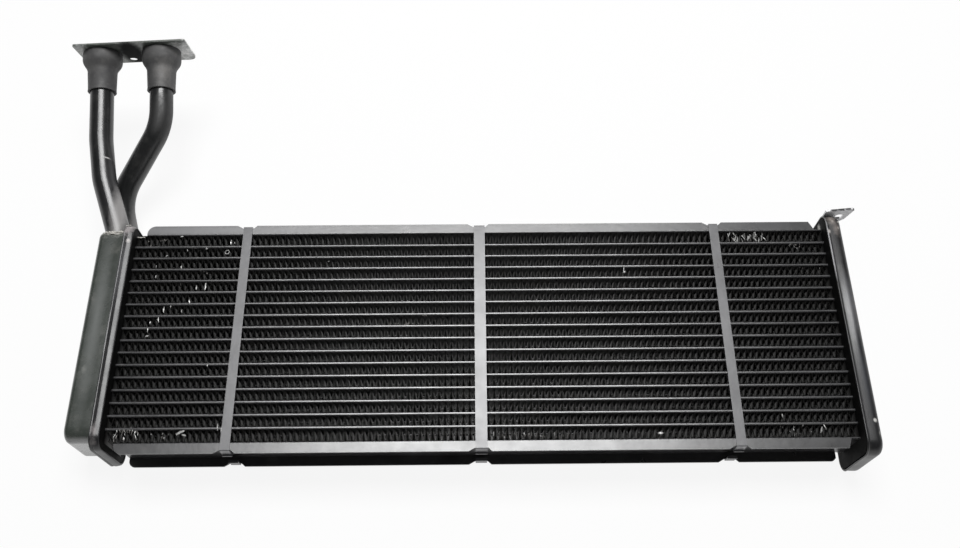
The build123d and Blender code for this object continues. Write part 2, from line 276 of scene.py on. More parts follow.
def fin_material():
    """Thin foil under black paint, its tone set lighter as painted fill light: streaks across the louvres,
    dust, tints, painted light in the depths and painted shade toward the ends.
    """
    material, tree, shader = new_material("fin_black")
    tint = ramp(tree, noise(tree, 9, 3, 0.6, (1, 2.2, 1)), [
        (0.30, (0.050, 0.053, 0.051)), (0.48, grey(0.053)), (0.70, (0.062, 0.055, 0.053))])
    streaks = ramp(tree, noise(tree, 700, 3, 0.6, (1, 0.25, 0.25)), [(0.35, 0.45), (0.65, 1.0)])
    colour = mix(tree, 1.0, tint, streaks, "MULTIPLY")
    dust = ramp(tree, noise(tree, 260, 6, 0.75), [(0.60, 0.0), (0.80, 0.30)])
    colour = mix(tree, dust, colour, (0.16, 0.15, 0.14))
    coords = tree.nodes.new("ShaderNodeTexCoord")
    axes = tree.nodes.new("ShaderNodeSeparateXYZ")
    tree.links.new(coords.outputs["Object"], axes.inputs[0])
    depth = math_node(tree, "MULTIPLY_ADD", axes.outputs["Z"], -MM / FIN_DEPTH,
                      (MOVE.z + FIN_FRONT) / FIN_DEPTH)
    # lighter towards the back of the fins: painted light
    painted_light_in_depth = ramp(tree, depth, [(0.03, 0.0), (0.10, 0.30), (0.35, 1.0)])
    colour = mix(tree, painted_light_in_depth, colour, (0.42, 0.42, 0.415))
    sideways = math_node(tree, "ABSOLUTE", math_node(tree, "SUBTRACT", axes.outputs["X"], MOVE.x / MM))
    # darker towards both ends of the core: painted shade
    painted_shade_at_ends = ramp(tree, sideways, [(0.08, 0.0), (0.25, 0.50)])
    colour = mix(tree, painted_shade_at_ends, colour, grey(0.004))
    finish(tree, shader, colour, (240, 4, 0.5, 0.7), gloss=0.3)
    bump(tree, shader, noise(tree, 900, 3), 0.00005, 0.6)
    return material


def fin_edge_shade_material():
    """The cut front edges of the fins, in a darker copy of the fin paint: painted shade."""
    material, tree, shader = new_material("fin_edge_shade")
    tone = ramp(tree, noise(tree, 500, 5, 0.7), [(0.35, 0.010), (0.75, (0.045, 0.043, 0.040))])
    finish(tree, shader, tone, (300, 3, 0.6, 0.85), gloss=0.1)
    return material


def rubber_material():
    """Dusty black rubber, rubbed pale on the right cup."""
    material, tree, shader = new_material("seal_rubber")
    tone = ramp(tree, noise(tree, 70, 6, 0.65), [(0.3, (0.045, 0.045, 0.047)), (0.7, (0.080, 0.079, 0.078))])
    dust = ramp(tree, noise(tree, 230, 7, 0.7), [(0.55, 0.0), (0.78, 0.25)])
    colour = mix(tree, dust, tone, (0.22, 0.21, 0.20))
    worn = patch(tree, on_plate(RIGHT_CUP_U + 5, -22, 10), (9, 16, 12), 0.0, 0.7, 300)
    colour = mix(tree, worn, colour, (0.15, 0.145, 0.14))
    finish(tree, shader, colour, (120, 4, 0.5, 0.72), gloss=0.45)
    bump(tree, shader, noise(tree, 1400, 3), 0.00008, 0.7)
    return material


def braze_material():
    """Rough, blotched filler metal."""
    material, tree, shader = new_material("braze")
    tone = ramp(tree, noise(tree, 300, 6, 0.7), [
        (0.28, (0.10, 0.10, 0.09)), (0.45, (0.42, 0.41, 0.38)), (0.70, (0.72, 0.70, 0.66))])
    finish(tree, shader, tone, (500, 4, 0.35, 0.7), 0.2)
    bump(tree, shader, noise(tree, 700, 6, 0.7), 0.0004, 0.8)
    return material


# Marks and painted light on the paint: middle, half widths in mm, (solid share, raggedness), colour,
# roughness

# Left header's rim: painted grey sheen along the crown, pale top corner, bright spot, worn bottom corner
RIM_WEAR_AND_SHEEN = (
    ((-279.0, 52.0, 11.0), (5.0, 40.0, 5.0), (0.1, 0.3), (0.082, 0.082, 0.086), 0.36),
    ((-278.5, 87.0, 8.0), (5.5, 9.0, 7.0), (0.2, 0.8), (0.38, 0.355, 0.355), 0.5),
    ((-277.0, 75.0, 11.0), (2.0, 2.4, 3.0), (0.3, 0.6), (0.55, 0.52, 0.51), 0.5),
    ((-278.5, -79.0, 11.0), (3.0, 6.0, 3.0), (0.0, 0.9), (0.26, 0.24, 0.24), 0.5),
    ((-278.5, -86.0, 8.0), (3.0, 5.0, 4.0), (0.0, 0.9), (0.16, 0.15, 0.15), 0.5))
# Right tank: painted highlight along the edge, specks at the top, painted sheen and painted shade on the
# crown, worn corners
CAP_WEAR_AND_LIGHT = (
    ((276.9, 64.0, 10.8), (1.0, 33.0, 2.5), (0.5, 0.3), (0.32, 0.32, 0.33), 0.4),
    ((282.1, 88.3, 10.6), (1.3, 1.5, 3.0), (0.1, 0.7), (0.50, 0.48, 0.45), 0.5),
    ((286.8, 87.8, 10.0), (1.2, 1.8, 3.0), (0.1, 0.7), (0.55, 0.53, 0.50), 0.5),
    ((285.6, 82.0, 10.6), (1.0, 1.5, 3.0), (0.1, 0.7), (0.50, 0.48, 0.45), 0.5),
    ((282.8, 14.0, 11.0), (4.6, 36.0, 4.0), (0.25, 0.2), (0.125, 0.125, 0.132), 0.36),
    ((283.2, -42.0, 11.0), (4.2, 40.0, 4.0), (0.1, 0.3), (0.034, 0.036, 0.042), 0.36),
    ((285.0, -76.5, 10.5), (1.6, 1.8, 3.0), (0.4, 0.6), (0.55, 0.54, 0.52), 0.5),
    ((286.5, -87.0, 8.5), (2.2, 3.4, 3.0), (0.1, 0.8), (0.34, 0.33, 0.32), 0.5),
    ((281.0, 90.0, 9.5), (4.5, 6.0, 4.0), (0.0, 0.9), (0.26, 0.23, 0.21), 0.5),
    ((284.0, 82.0, 11.0), (4.0, 8.0, 4.0), (0.0, 1.0), (0.16, 0.14, 0.13), 0.5),
    ((278.0, 79.0, 11.0), (1.6, 2.2, 2.0), (0.2, 0.6), (0.50, 0.47, 0.45), 0.5))
# Right header's inner side: pale patch at its top end
INNER_MARKS = (
    ((276.3, 88.5, -4.5), (2.0, 6.0, 4.0), (0.2, 0.7), (0.80, 0.80, 0.75), 0.6),
    ((276.3, 85.0, -3.6), (2.0, 1.5, 1.5), (0.3, 0.4), (0.85, 0.85, 0.80), 0.6))
# Left tank: painted reflection on the light bottom end, scraped top edge, small chip, painted highlight in a
# long streak down the face
TANK_WEAR_AND_LIGHT = (
    ((-291.0, -84.5, -12.0), (18.0, 4.5, 26.0), (0.4, 0.2), grey(0.16), 0.25),
    ((-291.0, 87.5, 2.0), (17.0, 6.5, 6.0), (0.1, 0.8), (0.26, 0.26, 0.24), 0.6),
    ((-296.0, -30.0, 5.0), (2.4, 3.4, 3.0), (0.0, 0.8), (0.22, 0.22, 0.20), 0.4),
    ((-294.0, 8.0, 5.0), (6.5, 95.0, 8.0), (0.1, 0.15), (0.115, 0.124, 0.118), 0.3))
# Flange plate: pale ends and painted shade between the cups
PLATE_WEAR_AND_SHADE = (
    (on_plate(41.0, 0.0, -2.0), (18.0, 12.0, 22.0), (0.1, 1.0), (0.90, 0.90, 0.89), 0.5),
    (on_plate(-43.0, 0.0, 2.0), (12.0, 12.0, 22.0), (0.1, 1.0), (0.62, 0.63, 0.62), 0.5),
    (on_plate(-2.7, 0.0, 0.0), (11.5, 16.0, 32.0), (0.55, 0.25), grey(0.006), 1.0))
# Bracket: painted shade along its upper and lower edges
EDGE_SHADE = (0.016, 0.016, 0.018)
BRACKET_EDGE_SHADE = (
    ((284.0, 97.2, 12.9), (4.6, 3.0, 1.0), (0.6, 0.2), EDGE_SHADE, 0.6),
    ((289.5, 97.2, 13.8), (4.6, 3.0, 1.0), (0.6, 0.2), EDGE_SHADE, 0.6),
    ((294.8, 97.2, 14.8), (3.6, 3.0, 0.9), (0.6, 0.2), (0.06, 0.06, 0.065), 0.6),
    ((299.4, 97.2, 14.2), (2.2, 3.0, 1.4), (0.4, 0.4), grey(0.05), 0.6),
    ((290.6, 97.2, 0.3), (3.4, 3.0, 0.8), (0.6, 0.2), grey(0.03), 0.6))
# Pipes: scratch, painted grey sheen on the two lower runs, dull sloping run, painted soft sheen
PIPE_WEAR_AND_SHEEN = (
    ((-305.5, 151.0, 12.0), (3.4, 0.9, 6.0), (0.4, 0.2), (0.50, 0.49, 0.48), 0.5),
    ((-290.5, 106.0, 4.0), (9.5, 36.0, 13.0), (0.35, 0.25), (0.250, 0.243, 0.240), 0.45),
    ((-287.0, 104.0, -26.0), (9.0, 30.0, 12.0), (0.2, 0.35), (0.150, 0.146, 0.144), 0.42),
    ((-266.0, 196.0, 8.0), (14.0, 30.0, 24.0), (0.6, 0.2), grey(0.010), 0.78),
    ((-299.5, 165.0, 8.0), (6.5, 45.0, 12.0), (0.2, 0.4), (0.048, 0.048, 0.050), 0.4))
# Side plates: painted highlight on the lighter left end of the upper flange
SIDE_HIGHLIGHT = (
    ((-225.0, 90.0, 0.0), (150.0, 9.0, 4.0), (0.2, 0.2), (0.16, 0.16, 0.165), 0.33),)

BLACK, SOFT_BLACK = (0.006, 0.006, 0.007), (0.013, 0.013, 0.014)
FRAME_BLACK = painted("frame_black", BLACK, SOFT_BLACK, (0.26, 0.36), dust_amount=0.05)
# darker, duller copy of the black paint for faces in shade: painted shade
INNER_SHADE_BLACK = painted("inner_shade_black", grey(0.003), grey(0.007), (0.6, 0.8), dust_amount=0.02, gloss=0.1,
                      marks_and_light=INNER_MARKS)
# lighter copy of the black paint for the side plates, whose rear flanges sit in shade: painted fill light
SIDE_BLACK_LIFTED = painted("side_black_lifted", (0.022, 0.022, 0.023), (0.042, 0.042, 0.045), (0.27, 0.35),
                     dust_amount=0.10, gloss=1.0, peel=0.00002, marks_and_light=SIDE_HIGHLIGHT)
RIM_BLACK = painted("rim_black", BLACK, SOFT_BLACK, (0.32, 0.42), dust_amount=0.10, gloss=0.6,
                    peel=0.000006, marks_and_light=RIM_WEAR_AND_SHEEN + CAP_WEAR_AND_LIGHT)
TUBE_BLACK = painted("tube_black", (0.022, 0.022, 0.023), (0.045, 0.045, 0.048), (0.26, 0.36),
                     dust_amount=0.10, gloss=1.0, peel=0.00002, grain=1200)
STRAP = painted("strap_coat", (0.080, 0.080, 0.084), (0.125, 0.125, 0.132), (0.27, 0.36),
                dust_amount=0.15, gloss=0.7, peel=0.00002)
TANK = painted("tank_black", (0.032, 0.039, 0.033), (0.054, 0.061, 0.054), (0.20, 0.32),
               dust_amount=0.25, coat=0.5, gloss=0.9, peel=0.00002, marks_and_light=TANK_WEAR_AND_LIGHT)
PIPE = painted("pipe_black", (0.007, 0.008, 0.008), (0.016, 0.016, 0.017), (0.26, 0.34), gloss=0.7,
               peel=0.000008, dust_amount=0.08, marks_and_light=PIPE_WEAR_AND_SHEEN)
PLATE = painted("plate_black", (0.050, 0.060, 0.052), (0.12, 0.13, 0.118), (0.25, 0.45), dust_amount=0.4,
                marks_and_light=PLATE_WEAR_AND_SHADE)
BRACKET = painted("bracket_coat", (0.74, 0.74, 0.75), (0.90, 0.90, 0.91), (0.3, 0.45), dust_amount=0.1,
                  marks_and_light=BRACKET_EDGE_SHADE)
RUBBER = rubber_material()
FIN = fin_material()
FIN_EDGE_SHADE = fin_edge_shade_material()
FOIL = foil("bare_foil", (0.62, 0.62, 0.61), (0.30, 0.30, 0.29), 0.3)
DULL_FOIL = foil("dull_foil", (0.19, 0.18, 0.17), (0.08, 0.075, 0.07), 0.2)
BRAZE = braze_material()
SHEET = foil("bare_sheet", grey(0.6), grey(0.35), 0.7)


# Mesh helpers

def add_piece(name, verts, faces, materials, replaces=(), smooth=None, material_of=None):
    """A piece from core millimetres, riding on the one body."""
    mesh = bpy.data.meshes.new(name)
    mesh.from_pydata([at(*v) for v in verts], [], faces)
    mesh.update()
    for material in materials:
        mesh.materials.append(material)
    if material_of:
        mesh.polygons.foreach_set("material_index", material_of)
    piece = bpy.data.objects.new(name, mesh)
    bpy.context.collection.objects.link(piece)
    if smooth is not None:
        mesh.polygons.foreach_set("use_smooth", [True] * len(mesh.polygons))
        mesh.set_sharp_from_angle(angle=math.radians(smooth))
    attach(piece, "root")
    if replaces:
        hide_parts(*replaces)
    return piece


def outward(piece):
    """Turns every face of a closed piece outward."""
    bm = bmesh.new()
    bm.from_mesh(piece.data)
    bmesh.ops.recalc_face_normals(bm, faces=bm.faces)
    bm.to_mesh(piece.data)
    bm.free()


def evened(values):
    """Numbers round a ring, each averaged with its neighbours."""
    count = len(values)
    return [(values[i - 1] + 2 * values[i] + values[(i + 1) % count]) / 4 for i in range(count)]


# Fins

def fin_leg(quad, a, b, front):
    """One leg between two folds, with a flat border, louvre slats and a front edge as thick as the foil."""
    along = b - a
    side = Vector((along.y, -along.x, 0)).normalized()

    def spot(share, z, off=0.0):
        place = a + along * share + side * off
        return (place.x, place.y, z)

    near, far = LEG_MARGIN, 1 - LEG_MARGIN
    slats_top, slats_low = front - EDGE_STRIP, FIN_BACK + EDGE_STRIP
    quad(spot(0, front), spot(near, front), spot(near, FIN_BACK), spot(0, FIN_BACK))
    quad(spot(far, front), spot(1, front), spot(1, FIN_BACK), spot(far, FIN_BACK))
    quad(spot(near, front), spot(far, front), spot(far, slats_top), spot(near, slats_top))
    quad(spot(near, slats_low), spot(far, slats_low), spot(far, FIN_BACK), spot(near, FIN_BACK))
    quad(spot(0, front, HALF_FOIL), spot(1, front, HALF_FOIL),
         spot(1, front, -HALF_FOIL), spot(0, front, -HALF_FOIL), 1)
    # the slats lean one way in front of the middle and the other way behind it
    middle = SLATS // 2
    for k in range(SLATS):
        z_top = slats_top - (slats_top - slats_low) * k / SLATS
        z_low = slats_top - (slats_top - slats_low) * (k + SLAT_SHARE) / SLATS
        tilt = 0.0 if k == middle else math.copysign(SLAT_TILT, middle - k)
        quad(spot(SLAT_END, z_top, tilt), spot(1 - SLAT_END, z_top, tilt),
             spot(1 - SLAT_END, z_low, -tilt), spot(SLAT_END, z_low, -tilt))


def fin_fold(quad, start, width, edge_y, front):
    """Rounded fold from the end of a leg to the start of the next, up to the height of the edge."""
    toward = math.copysign(1.0, edge_y - start.y)
    arc = [(start.x, start.y)]
    arc += [(start.x + width * share, edge_y - toward * below) for share, below in FOLD_ARC]
    arc.append((start.x + width, start.y))
    for (px, py), (qx, qy) in zip(arc, arc[1:]):
        quad((px, py, front), (qx, qy, front), (qx, qy, FIN_BACK), (px, py, FIN_BACK))


def fin_end(quad, x, tail, low, high):
    """A strip's end, pressed flat against the header and folded over the last waves."""
    for (px, py), (qx, qy) in (((x, low), (x, high)), ((x, high), (x + tail, high))):
        quad((px, py, FIN_FRONT), (qx, qy, FIN_FRONT), (qx, qy, FIN_BACK), (px, py, FIN_BACK))


def fin_row(index, low, high, seed):
    """One folded louvred strip between two heights."""
    rng = random.Random(seed)
    left, right = LEFT_X + FIN_START, RIGHT_X - FIN_START
    step = (right - left) / FIN_LEGS
    verts, faces, material_of = [], [], []

    def quad(a, b, c, d, kind=0):
        n = len(verts)
        verts.extend((a, b, c, d))
        faces.append((n, n + 1, n + 2, n + 3))
        material_of.append(kind)

    bend = 0.0
    for i in range(FIN_LEGS):
        rises = i % 2 == 0
        bend = BEND_KEPT * bend + rng.gauss(0, BEND_SPREAD)
        lean = FIN_LEAN + rng.gauss(0, LEAN_SPREAD)
        from_y, to_y = (low + FOLD, high - FOLD) if rises else (high - FOLD, low + FOLD)
        a = Vector((left + (i + 0.5 - lean) * step + bend * BEND_SHIFT, from_y, 0))
        b = Vector((left + (i + 0.5 + lean) * step + bend * BEND_SHIFT, to_y, 0))
        front = FIN_FRONT - rng.uniform(0, DEEPEST_DIP)
        fin_leg(quad, a, b, front)
        if i < FIN_LEGS - 1:
            fin_fold(quad, b, step * (1 - 2 * lean), high if rises else low, front)
    for x, tail in ((LEFT_X + END_GAP, END_TAIL), (RIGHT_X - END_GAP, -END_TAIL)):
        fin_end(quad, x, tail, low + END_LOW, high - END_HIGH)
    add_piece(f"louvred_fins_{index:02d}", verts, faces, (FIN, FIN_EDGE_SHADE),
              (f"fin_row_{index:02d}",), material_of=material_of)


def fin_rows():
    for i in range(ROWS + 1):
        high = WEB_Y if i == 0 else TUBE_Y[i - 1] - HALF_TUBE
        low = -WEB_Y if i == ROWS else TUBE_Y[i] + HALF_TUBE
        fin_row(i + 1, low, high, seed=40 + i)


# Seal cups

def lathe(name, profile, turn, material, replaces, sides=72):
    """Turned piece about the flange plate's normal. profile holds (radius, v) pairs of a closed section."""
    verts, faces = [], []
    n = len(profile)
    for i in range(sides):
        a = 2 * math.pi * i / sides
        for r, v in profile:
            verts.append(on_plate(turn + r * math.cos(a), v, r * math.sin(a)))
    for i in range(sides):
        j = (i + 1) % sides
        for k in range(n):
            m = (k + 1) % n
            faces.append((i * n + k, j * n + k, j * n + m, i * n + m))
    outward(add_piece(name, verts, faces, (material,), replaces, 38))


def rounded(points, radii, steps=6):
    """Closed outline with its corners rounded, a radius for each point."""
    result = []
    count = len(points)
    for i, (point, radius) in enumerate(zip(points, radii)):
        p = Vector(point)
        if radius == 0:
            result.append(p)
            continue
        before, after = Vector(points[i - 1]), Vector(points[(i + 1) % count])
        a, b = (before - p).normalized(), (after - p).normalized()
        for k in range(steps + 1):
            t = k / steps
            result.append(p + a * radius * (1 - t) ** 2 + b * radius * t ** 2)
    return result


def cups():
    """Both seal cups: a wide socket under the plate, a shoulder and a collar round the pipe."""
    for name, turn, longer in (("seal_cup_front_pipe", LEFT_CUP_U, 0.0),
                               ("seal_cup_rear_pipe", RIGHT_CUP_U, 1.6)):
        low, foot = -8.8 - longer, CUP_FOOT - longer
        points = [(13.6, 0), (15.7, 0), (16.0, low), (11.9, -15.2 - longer), (11.3, -32.6 - longer),
                  (11.6, foot), (9.75, foot), (9.75, low), (13.6, low)]
        radii = [0.3, 0.8, 2.6, 2.2, 0.8, 0.5, 0.3, 0, 0]
        profile = [(q.x, q.y) for q in rounded(points, radii)]
        lathe("rubber_" + name, profile, turn, RUBBER, (name,))


# Pressed rims of the left header and the right tank

# Outlines: half height, half depth, corner radius, middle y
LEFT_OUTLINE, RIGHT_OUTLINE = (91.5, 29.7, 10.0, 0.0), (98.5, 30.0, 10.0, -2.0)
# Swells of the crown: middle y, half length, amount
LEFT_SWELL, RIGHT_SWELL = (-5.0, 60.0, 0.34), (6.0, 34.0, 0.66)
# Sections: x, height over the outline, share of the swell
LEFT_RIM = (
    (-275.0, -9.0, 0), (-275.0, -1.7, 0), (-274.6, -1.4, 0), (-274.4, -0.9, 0), (-274.5, -0.45, 0),
    (-274.9, -0.12, 0), (-275.6, 0.08, 0.2), (-276.4, 0.24, 0.5), (-277.2, 0.38, 0.8), (-278.0, 0.50, 1),
    (-278.6, 0.56, 1), (-279.1, 0.42, 0.8), (-279.4, 0.12, 0.3), (-279.7, -0.10, 0), (-280.0, 0.10, 0.3),
    (-280.3, 0.42, 0.8), (-280.9, 0.56, 1), (-281.4, 0.62, 1), (-281.8, 0.45, 0.7), (-282.0, 0.1, 0),
    (-282.0, -0.9, 0), (-281.6, -1.5, 0), (-276.9, -1.6, 0), (-276.6, -9.0, 0))
RIGHT_RIM = (
    (287.1, -9.0, 0), (287.1, -3.0, 0), (286.2, -1.8, 0), (284.5, -1.4, 0), (278.4, -1.4, 0),
    (277.3, -1.2, 0), (276.7, -0.9, 0), (276.5, -0.45, 0), (276.55, 0.05, 0), (276.8, 0.30, 0),
    (277.15, 0.38, 0), (277.5, 0.25, 0), (277.8, -0.02, 0), (278.2, -0.16, 0), (278.8, -0.14, 0.05),
    (279.6, -0.09, 0.20), (280.4, -0.04, 0.36), (281.3, 0.01, 0.54), (282.4, 0.05, 0.76),
    (283.6, 0.07, 1.0), (284.8, 0.02, 0.85), (286.0, -0.3, 0.4), (287.0, -0.85, 0.1), (287.8, -1.6, 0),
    (288.3, -2.4, 0), (288.5, -3.4, 0), (288.5, -9.0, 0))


def ring(half_y, half_z, corner, mid_y, steps=10, longest=7.0):
    """Points round a rounded rectangle about (mid_y, MID_Z), each with its outward normal."""
    arcs = []
    for side_y, side_z, start in ((1, 1, 0), (-1, 1, 90), (-1, -1, 180), (1, -1, 270)):
        for k in range(steps + 1):
            a = math.radians(start + 90 * k / steps)
            y = mid_y + side_y * (half_y - corner) + corner * math.cos(a)
            z = MID_Z + side_z * (half_z - corner) + corner * math.sin(a)
            arcs.append((y, z, math.cos(a), math.sin(a)))
    points = []
    for p, q in zip(arcs, arcs[1:] + arcs[:1]):
        parts = max(1, round(math.hypot(q[0] - p[0], q[1] - p[1]) / longest))
        points += [tuple(u + (v - u) * k / parts for u, v in zip(p, q)) for k in range(parts)]
    return points


def pressed_shell(name, outline, section, swell, node, inner, seed, dents=0.04):
    """Section carried round an outline, with a flat face at each end and a stronger crown at the front.

    The first inner strips of the section face the core or the inside and take a darker, duller copy of the
    black paint as painted shade.
    """
    rng = random.Random(seed)
    points = ring(*outline)
    dent = evened(evened([rng.uniform(-1, 1) for _ in points]))
    middle, half_length, amount = swell
    verts, faces, material_of = [], [], []
    for (y, z, ny, nz), push in zip(points, dent):
        rise = amount * math.exp(-((y - middle) / half_length) ** 2) if nz > 0.9 else 0
        for x, out, share in section:
            reach = out + share * rise - dents * abs(push)
            verts.append((x, y + ny * reach, z + nz * reach))
    n, count = len(section), len(points)
    for i in range(count):
        j = (i + 1) % count
        for k in range(n - 1):
            faces.append((i * n + k, j * n + k, j * n + k + 1, i * n + k + 1))
            material_of.append(1 if k < inner else 0)
    faces.append([i * n for i in range(count)])
    faces.append([i * n + n - 1 for i in range(count)])
    material_of += [1, 0]
    outward(add_piece(name, verts, faces, (RIM_BLACK, INNER_SHADE_BLACK), (node,), 40, material_of))


def rims():
    pressed_shell("pressed_header_rim", LEFT_OUTLINE, LEFT_RIM, LEFT_SWELL, "header_plate_left",
                  inner=2, seed=11)
    pressed_shell("pressed_return_tank", RIGHT_OUTLINE, RIGHT_RIM, RIGHT_SWELL, "tank_right",
                  inner=6, seed=12)


# Braze

# Strands over the tank's top edge and the rim, each with its half thickness
BRAZE_STRANDS = (
    (0.55, ((-303.5, 84.5, 0.5), (-301, 86.6, 2.6), (-296, 86.0, 4.0), (-290, 86.4, 4.2), (-284, 87.0, 3.6),
            (-282.5, 89.5, 5.5))),
    (0.5, ((-304.0, 82.0, -2.0), (-303.2, 85.4, -4.0), (-302.6, 86.6, -9.0))),
    (0.35, ((-282.4, 90.6, 7.0), (-280.8, 91.4, 6.0), (-278.5, 91.5, 6.5))),
    (0.5, ((-284.5, 88.2, -4.0), (-282.4, 90.4, -2.0))))
# Drops on the rims: x, y, z, size
BRAZE_DROPS = ((-276.8, 74.7, 10.6, 0.7), (285.3, -76.5, 10.4, 0.5), (277.4, 86.5, 10.8, 0.4))
CORNER_BEAD = (0.4, ((-274.8, 83.8, 0.6), (-271.5, 83.4, 0.3), (-268.0, 84.0, 0.2)))
BEAD_STEP = 0.8
BRAZE_FRONT_Z = 4.0


def tank_top(x, z):
    """Height of the left tank's top end."""
    toward_front = max(0.0, z - TANK_FRONT_Z)
    toward_end = max(0.0, TANK_END_X - x)
    front_rest = math.sqrt(max(0.0, TANK_FRONT_ROUND ** 2 - toward_front ** 2))
    end_rest = math.sqrt(max(0.0, TANK_END_ROUND ** 2 - toward_end ** 2))
    return TANK_TOP_Y - (TANK_FRONT_ROUND - front_rest) - TANK_END_ROUND + end_rest


def ring_of_braze(name, centre_z, seed, width=1.5, wobble=0.8):
    """Uneven fillet of braze around a pipe where it enters the tank."""
    rng = random.Random(seed)
    verts, faces = [], []
    sides = 72
    lump = evened([rng.uniform(-1, 1) for _ in range(sides)])
    section = [(-0.2, width * 1.3), (0.35 * width, width * 0.85), (0.75 * width, width * 0.45),
               (width * 1.2, 0.05), (width * 1.3, -0.5)]
    for i in range(sides):
        a = 2 * math.pi * i / sides
        k = 1 + wobble * lump[i]
        for out, high in section:
            r = PIPE_R + out * k
            x, z = PIPE_X + r * math.cos(a), centre_z + r * math.sin(a)
            verts.append((x, tank_top(x, min(z, BRAZE_FRONT_Z)) + high * k, z))
    n = len(section)
    for i in range(sides):
        j = (i + 1) % sides
        for k in range(n - 1):
            faces.append((i * n + k, i * n + k + 1, j * n + k + 1, j * n + k))
    add_piece(name, verts, faces, (BRAZE,), (), 60)


def bead(verts, faces, points, radius, rng, sides=8):
    """Lumpy rod of braze through some core points, with closed ends."""
    line = []
    for p, q in zip(points, points[1:]):
        parts = max(2, round((Vector(q) - Vector(p)).length / BEAD_STEP))
        line += [Vector(p).lerp(Vector(q), k / parts) for k in range(parts)]
    line.append(Vector(points[-1]))
    start, last = len(verts), len(line) - 1
    for i, p in enumerate(line):
        ahead = (line[min(i + 1, last)] - line[max(i - 1, 0)]).normalized()
        side = ahead.cross(Vector((0.1, 0.3, 1.0))).normalized()
        up = side.cross(ahead)
        taper = 0.25 if i in (0, last) else 1.0
        r = radius * taper * rng.uniform(0.6, 1.35)
        p = p + side * rng.uniform(-0.3, 0.3) * radius + up * rng.uniform(-0.3, 0.3) * radius
        for k in range(sides):
            a = 2 * math.pi * k / sides
            verts.append(p + side * r * math.cos(a) + up * r * math.sin(a))
    for i in range(last):
        for k in range(sides):
            m = (k + 1) % sides
            a, b = start + i * sides, start + (i + 1) * sides
            faces.append((a + k, a + m, b + m, b + k))
    faces.append([start + k for k in range(sides)])
    faces.append([start + last * sides + k for k in range(sides)][::-1])


def braze_runs():
    """Strands of braze over the tank's top edge, drops on the rims and a bead at the fins' corner."""
    rng = random.Random(21)
    runs = list(BRAZE_STRANDS)
    for x, y, z, size in BRAZE_DROPS:
        runs.append((size * 0.6, ((x - size, y, z), (x, y + 0.4, z + 0.1), (x + size, y, z))))
    runs.append(CORNER_BEAD)
    verts, faces = [], []
    for radius, points in runs:
        bead(verts, faces, points, radius, rng)
    outward(add_piece("braze_runs", verts, faces, (BRAZE,), (), 60))


# Torn fin foil

SCRAP_PARTS = 5
SCRAP_Z = -0.9
SINGLE_LENGTH, SINGLE_WIDTH = 0.85, 0.8
# Single scraps: x, y, length, width, angle
SINGLE_SCRAPS = (
    (-239, 84.5, 2.6, 2.0, 0.3), (-199, 79, 5.0, 1.0, UPRIGHT), (-196, 78.5, 2.4, 0.6, UPRIGHT),
    (-215, 40, 7.0, 1.5, UPRIGHT), (-222, 39, 4.5, 1.1, UPRIGHT), (-226, 27, 5.0, 0.9, UPRIGHT + 0.3),
    (-231, 19, 3.0, 0.8, UPRIGHT), (-245, 20.5, 6.0, 1.2, UPRIGHT), (-248, 12, 5.5, 1.2, UPRIGHT + 0.2),
    (-254, 9.5, 3.0, 1.1, UPRIGHT), (-255, 3.5, 5.0, 1.1, UPRIGHT), (-255, -1.8, 3.2, 1.5, 0.3),
    (-255, 49, 3.5, 0.9, UPRIGHT), (-249, 67, 2.2, 1.0, 0.4), (-240, 23, 3.2, 0.6, UPRIGHT),
    (-206, -26, 3.0, 0.8, UPRIGHT), (-220, -78, 7.5, 2.6, 0.5), (-217, -80, 4.0, 1.6, -0.4),
    (-193, -74, 6.5, 0.8, UPRIGHT), (-190, -76, 6.0, 0.8, UPRIGHT), (114, 52, 6.5, 1.0, UPRIGHT - 0.2),
    (114.5, 50, 2.2, 1.8, 0), (131, -81.5, 4.5, 2.2, 0.1), (222, -69, 3.0, 1.0, UPRIGHT),
    (249, -80, 6.0, 1.6, UPRIGHT - 0.4), (252, -78, 5.0, 1.0, UPRIGHT + 0.4), (-233, 72, 2.2, 0.6, UPRIGHT),
    (-256, 58, 2.6, 0.6, UPRIGHT), (-236, 57, 4.0, 0.7, UPRIGHT), (3, -82, 5.0, 0.6, UPRIGHT),
    (9, -81, 4.0, 0.5, UPRIGHT), (-120, 61, 1.6, 0.6, 0.4))
# Ring of curled foil: x, y, radius, scraps, length, width
CURL_X, CURL_Y, CURL_R, CURL_PARTS, CURL_LENGTH, CURL_WIDTH = -201, 70, 1.6, 8, 1.7, 0.5
